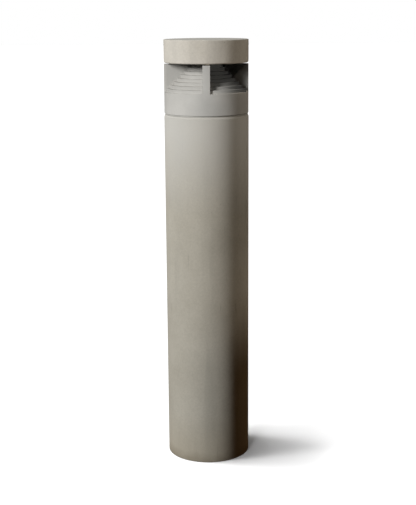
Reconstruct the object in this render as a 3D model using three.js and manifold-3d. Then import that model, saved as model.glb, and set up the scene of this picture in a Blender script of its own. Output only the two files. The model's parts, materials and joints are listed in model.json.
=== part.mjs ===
// A round concrete bollard light, in millimetres, +Z up, standing on z = 0 with its axis on the Z axis.
//
// A hollow concrete shaft is clamped between a steel base plate and a steel ring by four tie rods. A cast
// aluminium head with four fins is bolted to that ring. A stepped reflector drops between the fins, and a
// concrete cap with the LED unit in its underside stands on the fin tops and shines down on the steps.
// The gear tray hangs from the head, so it comes out of the shaft when the head is lifted.
import * as THREE from "three";
import { mergeVertices } from "three/addons/utils/BufferGeometryUtils.js";
import Module from "manifold-3d";

const wasm = await Module();
wasm.setup();

// ---------------------------------------------------------------- driving dimensions
const GAP = 0.3; // left between any two pieces that touch
const QUARTER = Math.PI / 2;
const ROUND = 48; // segments of a large round face
const MEDIUM_ROUND = 32; // segments of a gasket or a connector
const SMALL_ROUND = 12; // segments of a fastener

const SHAFT_RADIUS = 100;
const TOTAL_HEIGHT = 1016;
const SHAFT_HEIGHT = 842;
const SHAFT_BORE = 62;
const SEAT_DEPTH = 22; // recess in the shaft's top for the clamp ring, washers and nuts

const PLATE_THICKNESS = 10;
const PLATE_RADIUS = 77.4;
const CABLE_HOLE = 25; // radius of the hole in the base plate

const GASKET = 2;
const HEAD_BASE = SHAFT_HEIGHT + GASKET + 2 * GAP;
const HEAD_RADIUS = 99.5;
const HEAD_FLOOR = 7; // thickness of the head's floor
const HEAD_WALL_INNER = 94.4;
const WIRE_HOLE = 11; // radius of the hole in the head's floor
const LEDGE_HEIGHT = 895; // top of the head's ring, where the steps start
const FIN_TOP = 959.5;
const FIN_WIDTH = 17;

const STEPS = 8;
const STEP_RISE = 8;
const STEP_RUN = 8.3;
const STEP_TOP_RADIUS = 36;
const FIN_INNER = STEP_TOP_RADIUS + 2 * GAP; // the fins end just short of the top step

const CAP_BASE = 962.4; // leaves a shadow gap above the fins
const CAP_RADIUS = 99.7;
const CAP_HEIGHT = TOTAL_HEIGHT - CAP_BASE;
const CAVITY_RADIUS = 88;
const CAVITY_DEPTH = 35.6;

const CARRIER_BASE = 11.6; // underside of the LED carrier's plate, above the cap's rim
const CARRIER_PLATE = 6;
const HUB_RADIUS = 12;
const HUB_FOOT = 1.6; // underside of the carrier's hub, above the cap's rim
const GLASS_RADIUS = 62;
const GLASS_THICKNESS = 4;
const GLASS_BASE = 2.6; // underside of the glass, above the cap's rim

const TIE_ROD_RADIUS = 5; // M10
const TIE_ROD_CIRCLE = 52;
const ANCHOR_HOLE_RADIUS = 7; // for M12
const ANCHOR_CIRCLE = 48; // leaves the washers clear of the bore
const HEAD_BOLT_RADIUS = 4; // M8
const HEAD_BOLT_CIRCLE = 56;
const CAP_SCREW_RADIUS = 3; // M6
const CAP_SCREW_CIRCLE = 79;
const CARRIER_SCREW_RADIUS = 2.5; // M5
const CARRIER_SCREW_CIRCLE = 79;
const RETAINER_SCREW_RADIUS = 1.5; // M3
const RETAINER_SCREW_CIRCLE = 66.3;
const TRAY_SCREW_RADIUS = 2.5; // M5
const TRAY_SCREWS = [
  [-18, -19],
  [18, -19],
];

const LEAD_RADIUS = 3;
const LEAD_SIDES = 8;

// ---------------------------------------------------------------- materials
const finish = (color, roughness, metalness = 0) =>
  new THREE.MeshStandardMaterial({ color, roughness, metalness });
const concrete = finish(0xb3ada0, 0.9);
const paint = finish(0xb0afaa, 0.6, 0.1);
const galvanised = finish(0x9a9d9f, 0.5, 0.9);
const stainless = finish(0xb8b8b6, 0.3, 1);
const aluminium = finish(0xc4c6c8, 0.4, 1);
const sealRubber = finish(0x1c1c1d, 0.8);
const silicone = finish(0xd8d8d4, 0.6);
const nylon = finish(0xe6e4dc, 0.5);
const circuitWhite = finish(0xf2f2ee, 0.5);
const casePlastic = finish(0xdfe0de, 0.5);
const darkPlastic = finish(0x2c2e30, 0.5);
const cableSheath = finish(0x3a3b3d, 0.6);
const glass = new THREE.MeshStandardMaterial({
  color: 0xdfe8e6,
  roughness: 0.1,
  transparent: true,
  opacity: 0.35,
});

// ---------------------------------------------------------------- points
/** n points spaced round a circle, the first at the angle start. */
function around(n, radius, start = 0) {
  return Array.from({ length: n }, (_, i) => {
    const a = start + (i * 2 * Math.PI) / n;
    return [radius * Math.cos(a), radius * Math.sin(a)];
  });
}

const onAxes = (radius) => around(4, radius);
const onDiagonals = (radius) => around(4, radius, QUARTER / 2);

// ---------------------------------------------------------------- shapes
/** A solid turned round Z from [radius, height] points. */
function turned(points, segments = ROUND) {
  const profile = points.map(([r, z]) => new THREE.Vector2(r, z));
  return new THREE.LatheGeometry(profile, segments).rotateX(QUARTER);
}

function tube(outer, inner, height, segments = ROUND) {
  return turned(
    [
      [inner, 0],
      [outer, 0],
      [outer, height],
      [inner, height],
      [inner, 0],
    ],
    segments,
  );
}

/** A cylinder standing on z = 0 at (x, y). */
function rod(radius, height, [x, y] = [0, 0], segments = SMALL_ROUND) {
  return new THREE.CylinderGeometry(radius, radius, height, segments)
    .rotateX(QUARTER)
    .translate(x, y, height / 2);
}

/** Cutters for upright round holes, from 5 mm below z = 0 up to the height top. */
function holes(radius, points, top = 20) {
  const below = 5;
  return points.map((p) => rod(radius, top + below, p).translate(0, 0, -below));
}

/** A cutter for a round hole along Y, wide enough for a sheet at y = 0. */
function sideHole(radius, x, y, z) {
  const length = 20;
  return rod(radius, length)
    .rotateX(QUARTER)
    .translate(x, y + length / 2, z);
}

/** A box between two corners. */
function block([x0, y0, z0], [x1, y1, z1]) {
  return new THREE.BoxGeometry(x1 - x0, y1 - y0, z1 - z0).translate(
    (x0 + x1) / 2,
    (y0 + y1) / 2,
    (z0 + z1) / 2,
  );
}

/** A flat outline given height, standing on z = 0. */
function prism(outline, height, curveSegments) {
  return new THREE.ExtrudeGeometry(outline, {
    depth: height,
    bevelEnabled: false,
    curveSegments,
  });
}

function polygon(n, radius) {
  return new THREE.Shape(around(n, radius).map(([x, y]) => new THREE.Vector2(x, y)));
}

function roundedRectangle(width, depth, corner) {
  const [w, d] = [width / 2 - corner, depth / 2 - corner];
  const shape = new THREE.Shape();
  shape.absarc(w, d, corner, 0, QUARTER, false);
  shape.absarc(-w, d, corner, QUARTER, 2 * QUARTER, false);
  shape.absarc(-w, -d, corner, 2 * QUARTER, 3 * QUARTER, false);
  shape.absarc(w, -d, corner, 3 * QUARTER, 4 * QUARTER, false);
  shape.closePath();
  return shape;
}

/** A lead that follows points; the first two and the last two are in line with its ends. */
function lead(points, steps) {
  const path = new THREE.CatmullRomCurve3(points.map((p) => new THREE.Vector3(...p)));
  return new THREE.ExtrudeGeometry(polygon(LEAD_SIDES, LEAD_RADIUS), {
    extrudePath: path,
    steps,
    bevelEnabled: false,
  });
}

// ---------------------------------------------------------------- joining and cutting
function solidOf(geometry) {
  const bare = geometry.clone();
  bare.deleteAttribute("normal");
  bare.deleteAttribute("uv");
  const merged = mergeVertices(bare, 1e-4);
  return new wasm.Manifold(
    new wasm.Mesh({
      numProp: 3,
      vertProperties: merged.attributes.position.array,
      triVerts: new Uint32Array(merged.index.array),
    }),
  );
}

function geometryOf(solid) {
  const mesh = solid.getMesh();
  const geometry = new THREE.BufferGeometry();
  geometry.setAttribute("position", new THREE.BufferAttribute(mesh.vertProperties, 3));
  geometry.setIndex(new THREE.BufferAttribute(mesh.triVerts, 1));
  geometry.computeVertexNormals();
  return geometry;
}

function join(...geometries) {
  return geometryOf(geometries.map(solidOf).reduce((a, b) => a.add(b)));
}

function cut(geometry, ...tools) {
  return geometryOf(tools.map(solidOf).reduce((a, b) => a.subtract(b), solidOf(geometry)));
}

function common(a, b) {
  return geometryOf(solidOf(a).intersect(solidOf(b)));
}

// ---------------------------------------------------------------- fasteners
/** A socket screw: its head stands on z = 0 with the hexagon socket underneath, and the shank points up. */
function socketScrew(headRadius, headHeight, shankRadius, length) {
  const top = headHeight + length;
  const body = turned(
    [
      [0, 0],
      [headRadius, 0],
      [headRadius, headHeight],
      [shankRadius, headHeight],
      [shankRadius, top],
      [0, top],
    ],
    SMALL_ROUND,
  );
  const socketDepth = 0.6 * headHeight;
  const socket = rod(0.9 * shankRadius, headHeight, [0, 0], 6);
  return cut(body, socket.translate(0, 0, socketDepth - headHeight));
}

function hexNut(acrossFlats, bore, height) {
  const blank = prism(polygon(6, acrossFlats / Math.sqrt(3)), height);
  return cut(blank, ...holes(bore, [[0, 0]]));
}

// ---------------------------------------------------------------- the scene graph
const bollard = new THREE.Group();
const head = new THREE.Group();
const cap = new THREE.Group();
const gear = new THREE.Group();
head.position.z = HEAD_BASE;
cap.position.z = CAP_BASE;
gear.position.z = -GAP; // the tray's flange lies under the head's floor
head.add(gear);
bollard.add(head, cap);

function place(group, name, geometry, material, z = 0, [x, y] = [0, 0]) {
  const mesh = new THREE.Mesh(geometry, material);
  mesh.name = name;
  mesh.position.set(x, y, z);
  group.add(mesh);
  return mesh;
}

/** Copies of one geometry at several points, named with a number from 1. */
function placeAll(group, name, geometry, material, z, points) {
  return points.map((point, i) =>
    place(group, `${name}_${i + 1}`, geometry, material, z, point),
  );
}

// ---------------------------------------------------------------- shaft and anchorage
function addShaft() {
  const FOOT_CHAMFER = 1;
  const TOP_CHAMFER_IN = 2;
  const TOP_CHAMFER_DOWN = 4;
  const SEAT_RADIUS = 72;
  const recess = PLATE_RADIUS + 2 * GAP;
  const recessTop = PLATE_THICKNESS + 0.4;
  const seat = SHAFT_HEIGHT - SEAT_DEPTH;
  const profile = [
    [recess, 0],
    [SHAFT_RADIUS - FOOT_CHAMFER, 0],
    [SHAFT_RADIUS, FOOT_CHAMFER],
    [SHAFT_RADIUS, SHAFT_HEIGHT - TOP_CHAMFER_DOWN],
    [SHAFT_RADIUS - TOP_CHAMFER_IN, SHAFT_HEIGHT],
    [SEAT_RADIUS, SHAFT_HEIGHT],
    [SEAT_RADIUS, seat],
    [SHAFT_BORE, seat],
    [SHAFT_BORE, recessTop],
    [recess, recessTop],
    [recess, 0],
  ];
  place(bollard, "concrete_shaft", turned(profile), concrete);
  const gasket = tube(97.6, 80, GASKET);
  place(bollard, "head_gasket", gasket, silicone, SHAFT_HEIGHT + GAP);
}

function addBasePlate() {
  const BORE = 19.5;
  const LIP_RADIUS = 29;
  const LIP_EDGE = 2.5;
  const LIP_CROWN = 3.5;
  const LIP_SEAT = 1.2; // depth of the counterbore that the grommet's lip lies in
  const LIP_PLAY = 0.5;
  const lipBase = PLATE_THICKNESS - LIP_SEAT;
  const plate = cut(
    turned([
      [CABLE_HOLE, 0],
      [PLATE_RADIUS, 0],
      [PLATE_RADIUS, PLATE_THICKNESS],
      [LIP_RADIUS + LIP_PLAY, PLATE_THICKNESS],
      [LIP_RADIUS + LIP_PLAY, lipBase],
      [CABLE_HOLE, lipBase],
      [CABLE_HOLE, 0],
    ]),
    ...holes(ANCHOR_HOLE_RADIUS, onDiagonals(ANCHOR_CIRCLE)),
    ...holes(TIE_ROD_RADIUS + GAP, onAxes(TIE_ROD_CIRCLE)),
  );
  place(bollard, "base_plate", plate, galvanised);

  const sleeve = CABLE_HOLE - GAP;
  const grommet = [
    [BORE, 0],
    [sleeve, 0],
    [sleeve, lipBase],
    [LIP_RADIUS, lipBase],
    [LIP_RADIUS, lipBase + LIP_EDGE],
    [BORE + 1.5, lipBase + LIP_CROWN],
    [BORE, lipBase + LIP_CROWN],
    [BORE, 0],
  ];
  place(bollard, "inlet_grommet", turned(grommet, MEDIUM_ROUND), sealRubber, GAP);
}

function addTieRods() {
  const CLAMP_THICKNESS = 8;
  const CLAMP_RADIUS = 71.4;
  const CLAMP_OPENING = 42;
  const HOLE_PLAY = 0.5;
  const WASHER_RADIUS = 10;
  const WASHER = 2;
  const NUT_FLATS = 17;
  const NUT = 8;
  const rodFoot = 0.6;
  const rodLength = SHAFT_HEIGHT - 1 - rodFoot;
  const clampBase = SHAFT_HEIGHT - SEAT_DEPTH + GAP;
  const washerBase = clampBase + CLAMP_THICKNESS + GAP;
  const nutBase = washerBase + WASHER + GAP;
  const spots = onAxes(TIE_ROD_CIRCLE);

  const clamp = cut(
    tube(CLAMP_RADIUS, CLAMP_OPENING, CLAMP_THICKNESS),
    ...holes(TIE_ROD_RADIUS + HOLE_PLAY, spots),
    ...holes(HEAD_BOLT_RADIUS + HOLE_PLAY, onDiagonals(HEAD_BOLT_CIRCLE)),
  );
  const washer = tube(WASHER_RADIUS, TIE_ROD_RADIUS + HOLE_PLAY, WASHER, SMALL_ROUND);
  const nut = hexNut(NUT_FLATS, TIE_ROD_RADIUS + GAP, NUT);
  placeAll(bollard, "tie_rod", rod(TIE_ROD_RADIUS, rodLength), galvanised, rodFoot, spots);
  place(bollard, "top_clamp_ring", clamp, galvanised, clampBase);
  placeAll(bollard, "clamp_washer", washer, galvanised, washerBase, spots);
  placeAll(bollard, "clamp_nut", nut, galvanised, nutBase, spots);
}

// ---------------------------------------------------------------- head: ring, fins and reflector
/** One radial arm on each axis, from a radius out past the head's rim. */
function cross(inner, width, low, high) {
  const beyond = HEAD_RADIUS + 10;
  return [0, 1, 2, 3].map((i) =>
    block([inner, -width / 2, low], [beyond, width / 2, high]).rotateZ(i * QUARTER),
  );
}

function addHeadCasting() {
  const EDGE = 1.2; // chamfer at the foot and on the fin tops
  const LEDGE_EDGE = 0.6;
  const COUNTERBORE_TOP = 8;
  const COUNTERBORE_RADIUS = 5.6;
  const ledge = LEDGE_HEIGHT - HEAD_BASE;
  const finTop = FIN_TOP - HEAD_BASE;
  const bowl = turned([
    [WIRE_HOLE, 0],
    [HEAD_RADIUS - EDGE, 0],
    [HEAD_RADIUS, EDGE],
    [HEAD_RADIUS, ledge - LEDGE_EDGE],
    [HEAD_RADIUS - LEDGE_EDGE, ledge],
    [HEAD_WALL_INNER, ledge],
    [HEAD_WALL_INNER, HEAD_FLOOR],
    [WIRE_HOLE, HEAD_FLOOR],
    [WIRE_HOLE, 0],
  ]);
  const envelope = turned([
    [0, 0],
    [HEAD_RADIUS, 0],
    [HEAD_RADIUS, finTop - EDGE],
    [HEAD_RADIUS - EDGE, finTop],
    [0, finTop],
  ]);
  const arms = join(...cross(FIN_INNER, FIN_WIDTH, HEAD_FLOOR / 2, finTop));
  const capScrews = onAxes(CAP_SCREW_CIRCLE);
  const casting = cut(
    join(bowl, common(arms, envelope)),
    ...holes(HEAD_BOLT_RADIUS + 0.5, onDiagonals(HEAD_BOLT_CIRCLE)),
    ...holes(CAP_SCREW_RADIUS + 0.4, capScrews, finTop + 5),
    ...holes(COUNTERBORE_RADIUS, capScrews, COUNTERBORE_TOP),
    ...holes(TRAY_SCREW_RADIUS + GAP, TRAY_SCREWS),
  );
  place(head, "head_casting", casting, paint);
}

function addReflector() {
  const WALL = 3.5;
  const ROOF = 7;
  const HUB_HOLE = 12;
  const HOLLOW_TOP_RADIUS = 28;
  const base = HEAD_FLOOR + GAP;
  const ledge = LEDGE_HEIGHT - HEAD_BASE - base;
  const top = ledge + STEPS * STEP_RISE;
  const skirt = STEP_TOP_RADIUS + (STEPS - 1) * STEP_RUN;
  const stairs = [];
  for (let i = 0; i < STEPS; i++) {
    const radius = skirt - i * STEP_RUN;
    stairs.push([radius, ledge + i * STEP_RISE], [radius, ledge + (i + 1) * STEP_RISE]);
  }
  stairs.shift(); // the lowest riser runs straight on from the skirt
  // Inside, the hollow narrows at 45 degrees under the steps.
  const hollowTop = top - ROOF;
  const hollowRim = skirt - WALL - 2;
  const hollowFoot = hollowTop - (hollowRim - HOLLOW_TOP_RADIUS);
  const cone = turned([
    [skirt - WALL, 0],
    [skirt, 0],
    ...stairs,
    [HUB_HOLE, top],
    [HUB_HOLE, hollowTop],
    [HOLLOW_TOP_RADIUS, hollowTop],
    [hollowRim, hollowFoot],
    [skirt - WALL, hollowFoot - 2],
    [skirt - WALL, 0],
  ]);
  const slots = cross(FIN_INNER - GAP, FIN_WIDTH + 2 * GAP, -5, top + 5);
  place(head, "stepped_reflector", cut(cone, ...slots), paint, base);

  const sealBase = base + top + GAP;
  const seal = tube(30, HUB_RADIUS + 3, 5.2, MEDIUM_ROUND);
  place(head, "hub_seal", seal, silicone, sealBase);
}

function addHeadFasteners() {
  const BOLT_HEAD_RADIUS = 6.5;
  const BOLT_HEAD = 8;
  const BOLT_LENGTH = 28;
  const bolt = socketScrew(BOLT_HEAD_RADIUS, BOLT_HEAD, HEAD_BOLT_RADIUS, BOLT_LENGTH);
  const boltTop = HEAD_FLOOR + GAP + BOLT_HEAD;
  const bolts = placeAll(head, "head_bolt", bolt, stainless, boltTop, onDiagonals(HEAD_BOLT_CIRCLE));
  for (const mesh of bolts) mesh.rotation.x = Math.PI;

  const SCREW_HEAD_RADIUS = 5;
  const SCREW_HEAD = 6;
  const SCREW_LENGTH = 118; // up through the fin and the spacer into the carrier's foot
  const SCREW_FOOT = 1.4;
  const screw = socketScrew(SCREW_HEAD_RADIUS, SCREW_HEAD, CAP_SCREW_RADIUS, SCREW_LENGTH);
  placeAll(head, "cap_screw", screw, stainless, SCREW_FOOT, onAxes(CAP_SCREW_CIRCLE));

  const spacerHeight = CAP_BASE - FIN_TOP - GAP;
  const spacer = tube(7.5, CAP_SCREW_RADIUS + 0.4, spacerHeight, SMALL_ROUND);
  const spacerBase = FIN_TOP - HEAD_BASE + GAP;
  placeAll(head, "cap_spacer", spacer, nylon, spacerBase, onAxes(CAP_SCREW_CIRCLE));
}

// ---------------------------------------------------------------- gear tray, hung under the head
const SHEET = 2;
const TRAY_DROP = 230;
const TRAY_HALF = 28;
const TRAY_FRONT = -5; // the face that carries the driver
const TRAY_BACK = TRAY_FRONT - SHEET;
const EARTH = [24, -70]; // x and z of the earth screw

const DRIVER_WIDTH = 42;
const DRIVER_DEPTH = 27;
const DRIVER_LENGTH = 132;
const DRIVER_TOP = -34;
const DRIVER_BASE = DRIVER_TOP - DRIVER_LENGTH;
const DRIVER_Y = TRAY_FRONT + GAP + DRIVER_DEPTH / 2;
const PORT_OUT = 3; // how far a port stands out of the driver's end

const TERMINAL_BASE = -214;
const TERMINAL_HEIGHT = 24;

function addGearTray() {
  const FLANGE = 22;
  const TOE = 14;
  const LEAD_WINDOW = 6;
  const [earthX, earthZ] = EARTH;
  const tray = cut(
    join(
      block([-TRAY_HALF, TRAY_BACK, -TRAY_DROP], [TRAY_HALF, TRAY_FRONT, 0]),
      block([-TRAY_HALF, TRAY_FRONT - FLANGE, -SHEET], [TRAY_HALF, TRAY_FRONT, 0]),
      block([-TRAY_HALF, TRAY_FRONT - TOE, -TRAY_DROP], [TRAY_HALF, TRAY_FRONT, SHEET - TRAY_DROP]),
    ),
    ...holes(TRAY_SCREW_RADIUS + GAP, TRAY_SCREWS),
    sideHole(2.3, earthX, 0, earthZ),
    sideHole(LEAD_WINDOW, 0, 0, -26),
  );
  place(gear, "gear_tray", tray, galvanised);

  const SCREW_HEAD = 3;
  const screw = socketScrew(4.5, SCREW_HEAD, TRAY_SCREW_RADIUS, 7);
  placeAll(gear, "tray_screw", screw, stainless, -SHEET - SCREW_HEAD - GAP, TRAY_SCREWS);

  const EARTH_HEAD = 3.6;
  const earth = socketScrew(3.5, EARTH_HEAD, 2, 6).rotateX(-QUARTER);
  place(gear, "earth_screw", earth, stainless, earthZ, [earthX, TRAY_BACK - GAP - EARTH_HEAD]);
}

function addDriver() {
  const EAR_WIDTH = 16;
  const EAR_LENGTH = 8;
  const EAR_THICKNESS = 3;
  const PORT_WIDTH = 26;
  const back = -DRIVER_DEPTH / 2;
  const body = prism(roundedRectangle(DRIVER_WIDTH, DRIVER_DEPTH, 4), DRIVER_LENGTH, 3);
  const ears = block(
    [-EAR_WIDTH / 2, back, -EAR_LENGTH],
    [EAR_WIDTH / 2, back + EAR_THICKNESS, DRIVER_LENGTH + EAR_LENGTH],
  );
  const ports = [0, DRIVER_LENGTH].map((end) =>
    block([-PORT_WIDTH / 2, -4, end - PORT_OUT], [PORT_WIDTH / 2, 9, end + PORT_OUT]),
  );
  place(gear, "led_driver", join(body, ears, ...ports), casePlastic, DRIVER_BASE, [0, DRIVER_Y]);
}

function addTerminals() {
  const POLES = [-10, 0, 10];
  const terminal = cut(
    block([-17, 0, 0], [17, 17, TERMINAL_HEIGHT]),
    ...POLES.map((x) => rod(2.6, 8, [x, 7], 8).translate(0, 0, -1)),
    ...POLES.map((x) => sideHole(2.4, x, 30, TERMINAL_HEIGHT / 2)),
  );
  place(gear, "terminal_block", terminal, darkPlastic, TERMINAL_BASE, [0, TRAY_FRONT + GAP]);

  const backFace = [0, TRAY_BACK - GAP];
  const fuse = join(
    block([-9, -16, 0], [9, 0, 58]),
    block([-6, -19, 10], [6, 0, 48]),
    rod(5, 6, [0, -8]).translate(0, 0, 55),
  );
  place(gear, "fuse_holder", fuse, darkPlastic, -150, backFace);

  const CLAMP = 9;
  const cable = [0, -11];
  const clamp = cut(
    join(block([-13, -12, 0], [13, 0, CLAMP]), rod(8, CLAMP, cable)),
    ...holes(5, [cable]),
  );
  place(gear, "cable_clamp", clamp, nylon, CLAMP - TRAY_DROP, backFace);

  const low = TERMINAL_BASE + TERMINAL_HEIGHT + GAP;
  const high = DRIVER_BASE - PORT_OUT - GAP;
  const link = lead(
    [
      [0, 4, low],
      [0, 4, low + 4],
      [0, DRIVER_Y, high - 4],
      [0, DRIVER_Y, high],
    ],
    10,
  );
  place(gear, "mains_link_lead", link, cableSheath);
}

// ---------------------------------------------------------------- the driver's lead and its socket
function addDriverLead() {
  const HEIGHT = 20;
  const OUTER = 11.6;
  const INNER = 8.6;
  const NECK = 7;
  const FLOOR_LEVEL = 9;
  const socketBase = FIN_TOP - HEAD_BASE - 0.7 - HEIGHT;
  const socket = [
    [0, 0],
    [NECK, 0],
    [NECK, 6],
    [OUTER, 6],
    [OUTER, HEIGHT],
    [INNER, HEIGHT],
    [INNER, FLOOR_LEVEL],
    [0, FLOOR_LEVEL],
  ];
  place(head, "lead_socket", turned(socket, 24), darkPlastic, socketBase);

  const portTop = DRIVER_TOP + PORT_OUT;
  const route = [
    [0, 10, portTop],
    [0, 10, portTop + 4],
    [0, 4, -12],
    [0, 0, 2],
    [0, 0, 20],
    [1, 0, 50],
    [0, 0, 80],
    [0, 0, socketBase - GAP],
  ];
  place(head, "driver_lead", lead(route, 16), cableSheath);
}

// ---------------------------------------------------------------- cap
function addCapShell() {
  const RIM_CHAMFER = 2;
  const TOP_CHAMFER = 1;
  const SCREW_DEPTH = 12;
  const shell = turned([
    [0, CAP_HEIGHT],
    [0, CAVITY_DEPTH],
    [CAVITY_RADIUS, CAVITY_DEPTH],
    [CAVITY_RADIUS, 0],
    [CAP_RADIUS - RIM_CHAMFER, 0],
    [CAP_RADIUS, RIM_CHAMFER],
    [CAP_RADIUS, CAP_HEIGHT - TOP_CHAMFER],
    [CAP_RADIUS - TOP_CHAMFER, CAP_HEIGHT],
    [0, CAP_HEIGHT],
  ]);
  const sockets = holes(
    CARRIER_SCREW_RADIUS + 0.5,
    onDiagonals(CARRIER_SCREW_CIRCLE),
    CAVITY_DEPTH + SCREW_DEPTH,
  );
  place(cap, "cap_shell", cut(shell, ...sockets), concrete);
}

function addCarrier() {
  const FOOT_RADIUS = 7.5;
  const FOOT_BASE = 0.4;
  const POST_RADIUS = 7;
  const RIBS = 12;
  const RIB_HEIGHT = 13;
  const RIB_WIDTH = 3;
  const BOARD_HOLE = [30, 0]; // the LED lead comes down here
  const SUNK = 1; // how far feet, posts and ribs reach into the plate
  const plateTop = CARRIER_BASE + CARRIER_PLATE;
  const upright = (radius, low, high, point, segments) =>
    rod(radius, high - low, point, segments).translate(0, 0, low);
  const rib = block(
    [40, -RIB_WIDTH / 2, plateTop - SUNK],
    [66, RIB_WIDTH / 2, plateTop + RIB_HEIGHT],
  );
  const blank = join(
    upright(CAVITY_RADIUS - 2 * GAP, CARRIER_BASE, plateTop, [0, 0], ROUND),
    upright(HUB_RADIUS, HUB_FOOT, plateTop, [0, 0], 24),
    ...onAxes(CAP_SCREW_CIRCLE).map((p) =>
      upright(FOOT_RADIUS, FOOT_BASE, CARRIER_BASE + SUNK, p),
    ),
    ...onDiagonals(CARRIER_SCREW_CIRCLE).map((p) =>
      upright(POST_RADIUS, plateTop - SUNK, CAVITY_DEPTH - GAP, p),
    ),
    ...Array.from({ length: RIBS }, (_, i) =>
      rib.clone().rotateZ(((i + 0.5) * 2 * Math.PI) / RIBS),
    ),
  );
  const carrier = cut(
    blank,
    ...holes(CAP_SCREW_RADIUS + GAP, onAxes(CAP_SCREW_CIRCLE), CARRIER_BASE - 0.5),
    ...holes(CARRIER_SCREW_RADIUS + GAP, onDiagonals(CARRIER_SCREW_CIRCLE), CAP_HEIGHT),
    ...holes(LEAD_RADIUS + 2, [[0, 0], BOARD_HOLE], CAP_HEIGHT),
  );
  place(cap, "led_carrier", carrier, aluminium);

  const SCREW_HEAD = 5;
  const screw = socketScrew(4.25, SCREW_HEAD, CARRIER_SCREW_RADIUS, 33);
  const screwFoot = CARRIER_BASE - GAP - SCREW_HEAD;
  placeAll(cap, "carrier_screw", screw, stainless, screwFoot, onDiagonals(CARRIER_SCREW_CIRCLE));
}

function addBoard() {
  const THICKNESS = 1.6;
  const LED_HALF = 2.5;
  const LED_HEIGHT = 1.2;
  const leds = [...around(16, 46), ...around(8, 30, QUARTER / 4)].map(([x, y]) =>
    block([x - LED_HALF, y - LED_HALF, -LED_HEIGHT], [x + LED_HALF, y + LED_HALF, 0.5]),
  );
  const board = join(tube(56, 20, THICKNESS, MEDIUM_ROUND), ...leds);
  place(cap, "led_board", board, circuitWhite, CARRIER_BASE - GAP - THICKNESS);
}

function addCoverGlass() {
  const RETAINER_RADIUS = 70;
  const RETAINER_BASE = 0.6;
  const LIP_RADIUS = 54;
  const pane = tube(GLASS_RADIUS, HUB_RADIUS + 1, GLASS_THICKNESS);
  place(cap, "cover_glass", pane, glass, GLASS_BASE);

  const gasketBase = GLASS_BASE + GLASS_THICKNESS + GAP;
  const top = CARRIER_BASE - GAP;
  const gasket = tube(GLASS_RADIUS - 0.5, 57, top - gasketBase, MEDIUM_ROUND);
  place(cap, "glass_gasket", gasket, silicone, gasketBase);

  const wall = GLASS_RADIUS + 2 * GAP;
  const height = top - RETAINER_BASE;
  const lip = GLASS_BASE - GAP - RETAINER_BASE;
  const ring = turned([
    [LIP_RADIUS, 0],
    [RETAINER_RADIUS, 0],
    [RETAINER_RADIUS, height],
    [wall, height],
    [wall, lip],
    [LIP_RADIUS + 1, lip],
    [LIP_RADIUS, 0],
  ]);
  const spots = onDiagonals(RETAINER_SCREW_CIRCLE);
  const retainer = cut(
    ring,
    ...holes(RETAINER_SCREW_RADIUS + GAP, spots),
    ...holes(3.1, spots, 3), // counterbores
  );
  place(cap, "glass_retainer", retainer, aluminium, RETAINER_BASE);
  const screw = socketScrew(2.7, 2, RETAINER_SCREW_RADIUS, 7.6);
  placeAll(cap, "retainer_screw", screw, stainless, 2 * RETAINER_BASE, spots);
}

function addLedLead() {
  const LENGTH = 13.4;
  const TIP_RADIUS = 8.2;
  const GRIP_RADIUS = 10.5;
  const GRIP_BASE = 9;
  const TIP_CHAMFER = 0.6;
  const top = HUB_FOOT - GAP;
  const plug = [
    [0, 0],
    [TIP_RADIUS - TIP_CHAMFER, 0],
    [TIP_RADIUS, TIP_CHAMFER],
    [TIP_RADIUS, GRIP_BASE],
    [GRIP_RADIUS, GRIP_BASE],
    [GRIP_RADIUS, LENGTH],
    [0, LENGTH],
  ];
  place(cap, "lead_plug", turned(plug, 24), darkPlastic, top - LENGTH);

  const route = [
    [0, 0, HUB_FOOT],
    [0, 0, 12],
    [0, 0, 20],
    [4, 0, 26],
    [15, 0, 29],
    [26, 0, 26],
    [30, 0, 20],
    [30, 0, CARRIER_BASE],
  ];
  place(cap, "led_lead", lead(route, 16), cableSheath);
}

addShaft();
addBasePlate();
addTieRods();
addHeadCasting();
addReflector();
addHeadFasteners();
addGearTray();
addDriver();
addTerminals();
addDriverLead();
addCapShell();
addCarrier();
addBoard();
addCoverGlass();
addLedLead();

export default bollard;
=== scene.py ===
import json
import math

import bmesh
import bpy
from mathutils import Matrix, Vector, noise


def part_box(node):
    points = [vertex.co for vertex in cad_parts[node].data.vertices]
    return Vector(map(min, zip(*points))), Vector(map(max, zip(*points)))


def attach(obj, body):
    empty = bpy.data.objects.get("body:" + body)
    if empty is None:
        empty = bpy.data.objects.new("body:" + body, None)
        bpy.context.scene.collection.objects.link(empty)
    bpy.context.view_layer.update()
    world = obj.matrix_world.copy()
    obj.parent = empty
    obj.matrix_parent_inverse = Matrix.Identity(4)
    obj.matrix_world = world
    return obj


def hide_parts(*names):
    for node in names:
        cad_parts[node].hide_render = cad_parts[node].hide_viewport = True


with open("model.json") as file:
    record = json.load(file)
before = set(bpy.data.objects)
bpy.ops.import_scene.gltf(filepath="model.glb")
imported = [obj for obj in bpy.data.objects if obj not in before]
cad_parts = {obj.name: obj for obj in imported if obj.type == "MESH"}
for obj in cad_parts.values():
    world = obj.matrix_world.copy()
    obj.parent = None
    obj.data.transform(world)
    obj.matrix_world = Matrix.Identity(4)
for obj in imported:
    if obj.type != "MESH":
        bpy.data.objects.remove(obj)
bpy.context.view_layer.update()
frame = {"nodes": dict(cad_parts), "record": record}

# Everything is in metres, with the part standing on z = 0, its axis on Z and its front fin at -Y.
MM = 0.001
TURN = 2 * math.pi
BODY = "root"
AXES = 0.0             # angle of the first of four points on the X and Y axes
DIAGONALS = TURN / 8   # the same for four points between the axes

ROUND = 240        # segments of a large round face
HEAD_ROUND = 180   # of the head, which is cut by booleans
UNIT_ROUND = 160   # of the light unit's rings
PLATE_ROUND = 120
SCREW_ROUND = 48
HOLE_SIDES = 40


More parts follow.
